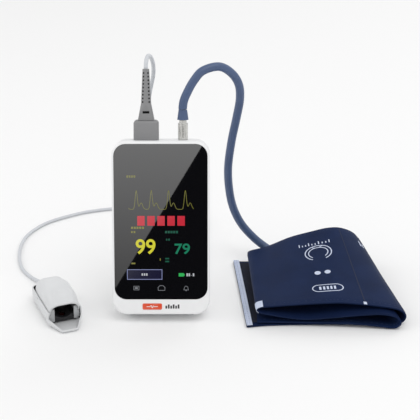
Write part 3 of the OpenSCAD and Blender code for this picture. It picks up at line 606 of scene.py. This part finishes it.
def wave_points():
    out = []
    x = -26.0
    while x < 26.8:
        i = max(k for k in range(len(WAVE_PEAKS) - 1) if WAVE_PEAKS[k] - 2.9 <= x)
        t = (x - WAVE_PEAKS[i] + 2.9) / 13
        out.append((x, WAVE_LOW + (WAVE_HIGH - WAVE_LOW) * pulse_height(t)))
        x += 0.5
    return out


def numerals(name, text, x0, x1, z0, z1, material):
    """Bold figures stretched into a box of the display."""
    curve = bpy.data.curves.new(name, "FONT")
    curve.body = text
    curve.offset = 0.018
    curve.extrude = 0.01
    temp = bpy.data.objects.new(name + "_temp", curve)
    bpy.context.scene.collection.objects.link(temp)
    bpy.context.view_layer.update()
    mesh = bpy.data.meshes.new_from_object(temp.evaluated_get(bpy.context.evaluated_depsgraph_get()))
    bpy.data.objects.remove(temp)
    xs = [v.co.x for v in mesh.vertices]
    ys = [v.co.y for v in mesh.vertices]
    zs = [v.co.z for v in mesh.vertices]
    for v in mesh.vertices:
        fx = (v.co.x - min(xs)) / (max(xs) - min(xs))
        fz = (v.co.y - min(ys)) / (max(ys) - min(ys))
        fy = (v.co.z - min(zs)) / (max(zs) - min(zs))
        v.co = case(x0 + (x1 - x0) * fx, GLOW_Y + 0.03 * (1 - fy), z0 + (z1 - z0) * fz)
    finish_mesh(mesh, material, 30)
    mesh.name = name
    obj = bpy.data.objects.new(name, mesh)
    bpy.context.scene.collection.objects.link(obj)
    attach(obj, "main")
    return obj


flat_shape("screen_wave", stroke(wave_points(), 0.5), lit_olive)
flat_shape("screen_wave_label", [rect(-27.4 + 1.9 * i, -26 + 1.9 * i, 112.7, 114.6)
                                 for i in range(4)], lit_olive)
flat_shape("screen_alert", [rect(-19 + 8.1 * i, -13 + 8.1 * i, 73.6, 81.6)
                            for i in range(5)], lit_red)
flat_shape("screen_oxygen_label", [rect(-24 + 2.2 * i, -22.4 + 2.2 * i, 71, 72.8)
                                   for i in range(5)]
           + [rect(-24, -22.8, 67.6, 69.2), rect(-22, -20.6, 67.6, 69.2)], lit_amber)
numerals("screen_oxygen", "99", -20.4, -4.4, 50.2, 62.6, lit_yellow)
flat_shape("screen_pulse_label", [rect(3.4 + 2.2 * i, 5 + 2.2 * i, 67.4, 69.4)
                                  for i in range(5)]
           + [rect(4.2, 5.2, 61.4, 63), rect(6, 7.2, 61.4, 63)], lit_dim_teal)
numerals("screen_pulse", "79", 11, 23.5, 50.2, 59, lit_teal)
flat_shape("screen_limits", [rect(3.4, 6.6, 46, 47.2), rect(3.4, 6.6, 43.6, 44.8)], lit_dim_teal)
flat_shape("screen_ticks", [rect(-24, -20.8, 42, 43.2), rect(-1, -0.2, 45, 46.8)], lit_amber)
flat_shape("screen_box", frame_of(-27.6, 1, 29.2, 37.7, 0.5), lit_lilac)
flat_shape("screen_box_fill", [rect(-27, 0.4, 29.8, 37.1)], lit_navy)
flat_shape("screen_box_marks", [rect(-15.8 + 1.8 * i, -14.6 + 1.8 * i, 32.5, 34.4)
                                for i in range(3)], lit_white, front=GLOW_Y - 0.03)
flat_shape("screen_battery", [rect(14.3, 18.4, 31.8, 34.6), rect(18.4, 19.1, 32.5, 33.9)], lit_green)
flat_shape("screen_clock", [rect(20.6 + 1.7 * i, 21.8 + 1.7 * i, 32, 34.4)
                            for i in (0, 1, 3)] + [rect(24.2, 24.6, 32.5, 33)], lit_white)
KEY_Z = 22.2
KEY_LINE = 0.38
flat_shape("key_display", frame_of(-22.4, -17.8, KEY_Z - 1.7, KEY_Z + 1.7, KEY_LINE)
           + [rect(-21.3, -18.9, KEY_Z - 0.7, KEY_Z + 0.7)], key_print)
home_roof = [(-2.8, KEY_Z + 0.3), (-1, KEY_Z + 2), (1.6, KEY_Z + 2), (3.4, KEY_Z + 0.3)]
home_walls = [(-2.4, KEY_Z + 0.6), (-2.4, KEY_Z - 1.9), (3, KEY_Z - 1.9), (3, KEY_Z + 0.6)]
flat_shape("key_home", stroke(home_roof, KEY_LINE) + stroke(home_walls, KEY_LINE), key_print)
flat_shape("key_bell", stroke([(18.5, KEY_Z - 1.2)] + arc(20.3, KEY_Z + 0.2, 1.4, 180, 0)
                              + [(22.1, KEY_Z - 1.2)], KEY_LINE)
           + [rect(18.2, 22.4, KEY_Z - 1.7, KEY_Z - 1.3), rect(19.8, 20.8, KEY_Z - 2.4, KEY_Z - 1.9)],
           key_print)

# ---- badge and marks on the chin ----

badge_low, badge_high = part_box("name_badge")
BADGE_X = (badge_low.x + badge_high.x) / 2 / MM
BADGE_Z = 6.85
BADGE_Y = -0.36
flat_shape("badge_pulse", stroke([
    (BADGE_X - 4.6, BADGE_Z), (BADGE_X - 1.8, BADGE_Z), (BADGE_X - 0.9, BADGE_Z + 1.1),
    (BADGE_X, BADGE_Z - 1.2), (BADGE_X + 0.9, BADGE_Z + 0.7), (BADGE_X + 1.5, BADGE_Z),
    (BADGE_X + 4.6, BADGE_Z)], 0.5), badge_white, front=BADGE_Y, thick=0.06)
flat_shape("chin_ticks", [rect(3.4 + 2 * i, 4.8 + 2 * i, BADGE_Z - 1.7, BADGE_Z + (1.7 if i % 2 else 0.7))
                          for i in range(6)], badge_dark, thick=0.05)

# ---- cuff ----

CUFF_NEAR = [
    (78, -22, 3.7), (100, -22, 3.6), (130, -23, 3.6), (158, -25, 3.6), (178, -27, 2.6),
    (188, -28, 1.8), (193, -28.5, 4.2), (193.6, -28, 8), (189, -27, 11.6),
    (178, -26, 13.2), (158, -25, 11.6), (138, -24, 9), (118, -23, 7),
    (102, -22.5, 8.4), (89, -22, 10.6), (81, -21.5, 12.2), (78, -20.5, 14.3),
    (81, -20, 16.2), (90, -20, 17.2), (112, -20.5, 19.2), (134, -21, 20.8),
    (147, -21, 21), (168, -21, 19), (186, -21.5, 16.6), (194, -21.5, 14.2),
    (198.4, -21.5, 10), (197, -21.5, 4.6), (190.5, -21, 1.3), (178, -20.5, 1.2),
    (150, -20.5, 1.2), (110, -21, 1.2), (86, -22.4, 1.2), (74.3, -24.2, 1.2),
    (69.5, -25, 1.2),
]
CUFF_FAR = [
    (80, 88, 3.7), (98, 88, 3.6), (118, 88, 3.6), (138, 88, 3.6), (152, 88, 4),
    (160, 88, 5.4), (165, 88, 9.4), (165, 88, 15), (160.5, 88, 22), (152, 88, 27),
    (144, 88, 28.2), (132, 88, 25.4), (118, 88, 20.8), (104, 88, 15.8),
    (90, 88, 12.2), (77, 88, 9.6), (73.4, 88, 11.1), (76, 88, 13.4), (90, 88, 17.4),
    (110, 88, 26.4), (128, 88, 31.8), (142, 88, 35.4), (153, 88, 35.6),
    (163.5, 88, 31.6), (169.5, 88, 25), (172.4, 88, 16), (170.6, 88, 7.4),
    (164, 88, 2.2), (154, 88.5, 1.2), (132, 89, 1.2), (104, 89.5, 1.2),
    (84, 90, 1.2), (65.3, 90.4, 1.2), (60.5, 90.5, 1.2),
]
BAND_STEPS = 8
near_edge = smooth_points([Vector(p) for p in CUFF_NEAR], BAND_STEPS)
far_edge = smooth_points([Vector(p) for p in CUFF_FAR], BAND_STEPS)
BAND_N = len(near_edge)
FABRIC_T = 0.55
FABRIC_IN = 0.55
BAND_W = 110.0
run = [0.0]
for i in range(1, BAND_N):
    a = (near_edge[i] + far_edge[i]) / 2
    b = (near_edge[i - 1] + far_edge[i - 1]) / 2
    run.append(run[-1] + (a - b).length)


def band_mid(i, v):
    return near_edge[i] * (1 - v) + far_edge[i] * v


def band_point(s, v, off):
    """A point of the strip at ring s, which may be a fraction, and share v of its width."""
    s = min(max(s, 0), BAND_N - 1.001)
    i = int(s)
    f = s - i
    p = band_mid(i, v) * (1 - f) + band_mid(i + 1, v) * f
    j = max(i - 1, 0)
    k = min(i + 2, BAND_N - 1)
    normal = (band_mid(k, v) - band_mid(j, v)).cross(far_edge[i] - near_edge[i]).normalized()
    return (p + off * normal) * MM


def puff(v):
    """The two fabrics part between their sewn edges: 0 at an edge and 1 inside."""
    edge = min(v, 1 - v) * BAND_W
    t = min(edge / 5, 1)
    return t * t * (3 - 2 * t)


def crease(s, v, side):
    """Small soft waves of the fabric, in millimetres."""
    i = int(min(s, BAND_N - 1))
    p = Vector((run[i] * 0.022, v * 2.6, 3.7 * side))
    q = Vector((run[i] * 0.06, v * 7.0, 9.1 * side))
    return 0.75 * noise.noise(p) + 0.22 * noise.noise(q)


def fabric(name, side, material, node):
    """One of the two fabrics, outer with side 1 and inner with side -1."""
    rows = 44
    verts, uvs, faces = [], [], []
    for layer in (0, 1):
        for i in range(BAND_N):
            for j in range(rows + 1):
                v = j / rows
                swell = puff(v)
                off = 0.05 + (FABRIC_IN - 0.05) * swell + layer * FABRIC_T
                wave = crease(i, v, side) * swell * (0.55 if side > 0 else 0.3)
                if side * off + wave < 0 < side:
                    wave = 0
                verts.append(band_point(i, v, side * (off + max(wave, -0.1))))
                uvs.append((run[i], v * BAND_W))
    m = rows + 1
    low = BAND_N * m
    for i in range(BAND_N - 1):
        for j in range(rows):
            a, b, c, d = i * m + j, i * m + j + 1, (i + 1) * m + j + 1, (i + 1) * m + j
            faces.append((a, b, c, d))
            faces.append((low + d, low + c, low + b, low + a))
        faces.append((i * m, (i + 1) * m, low + (i + 1) * m, low + i * m))
        e = rows
        faces.append((low + i * m + e, low + (i + 1) * m + e, (i + 1) * m + e, i * m + e))
    for j in range(rows):
        faces.append((j, low + j, low + j + 1, j + 1))
        e = (BAND_N - 1) * m
        faces.append((e + j + 1, low + e + j + 1, low + e + j, e + j))
    obj = piece(name, verts, faces, material, uvs=uvs, sharp_deg=60)
    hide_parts(node)
    return obj


outer = fabric("cuff_outer", 1, navy, "cuff_outer_fabric")
inner = fabric("cuff_inner", -1, navy_inner, "cuff_inner_fabric")


def patch(name, s0, s1, v0, v1, off0, off1, material, across=24, step=1.0, lift=None):
    """A strip of tape on the band between two offsets."""
    n = max(2, int((s1 - s0) / step))
    verts, uvs, faces = [], [], []
    for off in (off0, off1):
        for i in range(n + 1):
            s = s0 + (s1 - s0) * i / n
            for j in range(across + 1):
                v = v0 + (v1 - v0) * j / across
                extra = lift(s, v) if lift else 0
                verts.append(band_point(s, v, off + extra))
                uvs.append((run[min(int(s), BAND_N - 1)], v * BAND_W))
    m = across + 1
    low = (n + 1) * m
    for i in range(n):
        for j in range(across):
            a, b, c, d = i * m + j, i * m + j + 1, (i + 1) * m + j + 1, (i + 1) * m + j
            faces.append((a, b, c, d))
            faces.append((low + d, low + c, low + b, low + a))
        faces.append((i * m, (i + 1) * m, low + (i + 1) * m, low + i * m))
        e = across
        faces.append((low + i * m + e, low + (i + 1) * m + e, (i + 1) * m + e, i * m + e))
    for j in range(across):
        faces.append((j, low + j, low + j + 1, j + 1))
        e = n * m
        faces.append((e + j + 1, low + e + j + 1, low + e + j, e + j))
    obj = piece(name, verts, faces, material, uvs=uvs, sharp_deg=60)
    return obj


def outer_top(s, v):
    """Offset of the outer fabric's face at a place of the strip."""
    swell = puff(v)
    return 0.05 + (FABRIC_IN - 0.05) * swell + FABRIC_T + max(crease(s, v, 1) * swell * 0.55, -0.1)


LAST = BAND_N - 1
# Offsets of the tapes on the strip's inner side, in millimetres.
BINDING_UNDER, BINDING_TOP = -1.2, -1.75
HOOK_UNDER, HOOK_TOP = -1.11, -1.34
end_binding = patch("cuff_binding", LAST - BAND_STEPS, LAST - 0.01, 0, 1, BINDING_UNDER, BINDING_TOP,
                    binding, across=60)
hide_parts("cuff_end_binding")
index_tag = patch("cuff_tag", 15.35 * BAND_STEPS, 17.3 * BAND_STEPS, -0.004, 0.085, 0, 0.3,
                  binding, across=8, lift=outer_top)
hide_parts("cuff_index_tag")


def stitches(name, places, material, long=1.7, thick=0.3):
    """Short threads; places are pairs of points in metres, the second one ahead."""
    verts, faces = [], []
    for p, ahead in places:
        direction = (ahead - p).normalized()
        path = [p + direction * long * MM * (k / 4 - 0.5) for k in range(5)]
        ring, rings = sweep(path, thick / 2 * MM, 6, bulge=lambda k: (0.35, 0.85, 1, 0.85, 0.35)[k])
        base = len(verts)
        verts += ring
        faces += [tuple(base + i for i in f) for f in rings]
    obj = piece(name, verts, faces, material)
    return obj


def seam_places(v, spacing, side):
    out = []
    last = -spacing
    for i in range(1, BAND_N - 2):
        if run[i] - last >= spacing:
            last = run[i]
            off = outer_top(i, v) if side > 0 else -outer_top(i, v)
            out.append((band_point(i, v, off), band_point(i + 1, v, off)))
    return out


stitches("hem_near", seam_places(0.03, 2.7, 1), thread_navy)
stitches("hem_far", seam_places(0.97, 2.7, 1), thread_navy)
BINDING_SEAM = [LAST - BAND_STEPS * 0.3, LAST - BAND_STEPS * 0.72]
binding_threads = []
for s in BINDING_SEAM:
    for k in range(40):
        v = 0.012 + 0.976 * k / 39
        binding_threads.append((band_point(s, v, BINDING_TOP - 0.03),
                                band_point(s, v + 0.01, BINDING_TOP - 0.03)))
stitches("binding_seams", binding_threads, thread_blue, long=1.5)



def ring_at(distance):
    """The ring, as a fraction, that lies this far along the strip."""
    i = max(k for k in range(BAND_N - 1) if run[k] <= distance)
    return i + (distance - run[i]) / (run[i + 1] - run[i])


def printed(name, loops, s0, v0, material=print_white, high=0.05):
    """Outlines in millimetres along and across the strip, from a place on its outer face."""
    verts, faces = [], []
    start = run[int(s0)]
    for loop in loops:
        base, n = len(verts), len(loop)
        for off in (0.02, high):
            for a, b in loop:
                s, v = ring_at(start + a), v0 + b / BAND_W
                verts.append(band_point(s, v, outer_top(s, v) + off))
        faces.append(tuple(base + i for i in range(n)))
        faces.append(tuple(base + n + i for i in reversed(range(n))))
        for i in range(n):
            k = (i + 1) % n
            faces.append((base + i, base + n + i, base + n + k, base + k))
    return piece(name, verts, faces, material, sharp_deg=30)


# Ring of the strip where most of the marks are centred, and that of the cross seam.
PRINT_AT = 161
SEAM_AT = 175
printed("print_ring", stroke(arc(0, 0, 11.2, -60, 240, 40), 0.9)
        + stroke(arc(0, 0, 8.2, -50, 230, 36), 0.8)
        + stroke(arc(0, 14, 6, -140, -40, 10), 0.8), PRINT_AT, 0.67)
printed("print_scale", [rect(-15.6 + 2.9 * i, -14.7 + 2.9 * i, -2.2, 2.2 if i % 3 == 0 else 0.2)
                        for i in range(10)], PRINT_AT, 0.81)
printed("print_dots", [arc(x, 0, 2.6, 0, 342, 19) for x in (-4, 4.4)], PRINT_AT, 0.394)
PILL_X, PILL_R = 7.6, 4.7
pill = stroke(arc(PILL_X, 0, PILL_R, -90, 90, 12), 0.8) + stroke(arc(-PILL_X, 0, PILL_R, 90, 270, 12), 0.8)
for z in (-PILL_R, PILL_R):
    pill += stroke([(PILL_X * (k / 6 - 1), z) for k in range(13)], 0.8)
pill += [rect(-7.2 + 3.1 * i, -5.5 + 3.1 * i, -2.2, 2.2) for i in range(5)]
printed("print_pill", pill, PRINT_AT + 1, 0.186)
printed("print_mark", [rect(-1.6, -0.4, -4, 4), rect(0.8, 2, -4, 1)], 186, 0.834)
patch("cuff_cross_seam", SEAM_AT - 0.2, SEAM_AT + 0.1, 0.02, 0.98, 0.02, 0.08, seam_blue,
      across=90, step=0.25, lift=outer_top)
printed("bartack", [rect(-1, 1, -1.4, 1.4)], SEAM_AT, 0.012, high=0.12)
patch("cuff_hook_tape", 30.1 * BAND_STEPS, 31.97 * BAND_STEPS, 0.035, 0.965, HOOK_UNDER, HOOK_TOP,
      fuzzy, across=40)

bpy.data.objects["cuff_bladder"].data.materials.clear()
bpy.data.objects["cuff_bladder"].data.materials.append(bladder_film)

# ---- stage ----

floor = bpy.data.meshes.new("floor")
floor.from_pydata([(-6, -6, 0), (6, -6, 0), (6, 6, 0), (-6, 6, 0)], [], [(0, 1, 2, 3)])
floor_obj = bpy.data.objects.new("floor", floor)
bpy.context.scene.collection.objects.link(floor_obj)
floor_mat, tree, bsdf = shader("floor", (0.9, 0.9, 0.9), 0.9)
bsdf.inputs["Specular IOR Level"].default_value = 0.1
floor.materials.append(floor_mat)

world = bpy.data.worlds.new("studio")
bpy.context.scene.world = world
world.use_nodes = True
world.node_tree.nodes["Background"].inputs["Color"].default_value = (1, 1, 1, 1)
world.node_tree.nodes["Background"].inputs["Strength"].default_value = 0.8
bpy.context.scene.view_settings.view_transform = "Standard"


def area_light(name, place, target, size, power):
    light = bpy.data.lights.new(name, "AREA")
    light.shape = "RECTANGLE"
    light.size, light.size_y = size
    light.energy = power
    obj = bpy.data.objects.new(name, light)
    bpy.context.scene.collection.objects.link(obj)
    obj.location = place
    obj.rotation_euler = (Vector(target) - Vector(place)).to_track_quat("-Z", "Y").to_euler()
    return obj


MIDDLE = (0.03, 0.04, 0.06)
area_light("key", (0.5, -0.5, 1.6), MIDDLE, (1.2, 1.2), 7)
area_light("side", (-1.3, 0.1, 0.9), MIDDLE, (0.8, 1.0), 3)
area_light("rear", (0.9, 1.1, 1.0), MIDDLE, (0.8, 0.8), 2.5)


def studio_card(name, y, corners, low, high):
    """A card that only reflections see, low at its bottom and high at its top."""
    mesh = bpy.data.meshes.new(name)
    mesh.from_pydata([(x, y, z) for x, z in corners], [], [tuple(range(len(corners)))])
    obj = bpy.data.objects.new(name, mesh)
    bpy.context.scene.collection.objects.link(obj)
    mat = bpy.data.materials.new(name)
    mat.use_nodes = True
    tree = mat.node_tree
    tree.nodes.remove(tree.nodes["Principled BSDF"])
    glow = tree.nodes.new("ShaderNodeEmission")
    coords = tree.nodes.new("ShaderNodeTexCoord")
    split = tree.nodes.new("ShaderNodeSeparateXYZ")
    mapped = tree.nodes.new("ShaderNodeMapRange")
    mapped.inputs["To Min"].default_value = low
    mapped.inputs["To Max"].default_value = high
    tree.links.new(coords.outputs["Generated"], split.inputs["Vector"])
    tree.links.new(split.outputs["Z"], mapped.inputs["Value"])
    tree.links.new(mapped.outputs["Result"], glow.inputs["Strength"])
    tree.links.new(glow.outputs["Emission"], tree.nodes["Material Output"].inputs["Surface"])
    mesh.materials.append(mat)
    obj.visible_camera = False
    obj.visible_diffuse = False
    obj.visible_shadow = False


# The glass mirrors a dark studio wall, and a bright panel with a slanting edge before it.
studio_card("dark_wall", -1.36, [(-0.5, -0.1), (0.5, -0.1), (0.5, 0.7), (-0.5, 0.7)], 0.0, 0.0)
studio_card("bright_panel", -1.3, [(-0.2, -0.012), (0.032, 0.375), (0.032, 0.42), (-0.2, 0.42)], 0.2, 3.9)
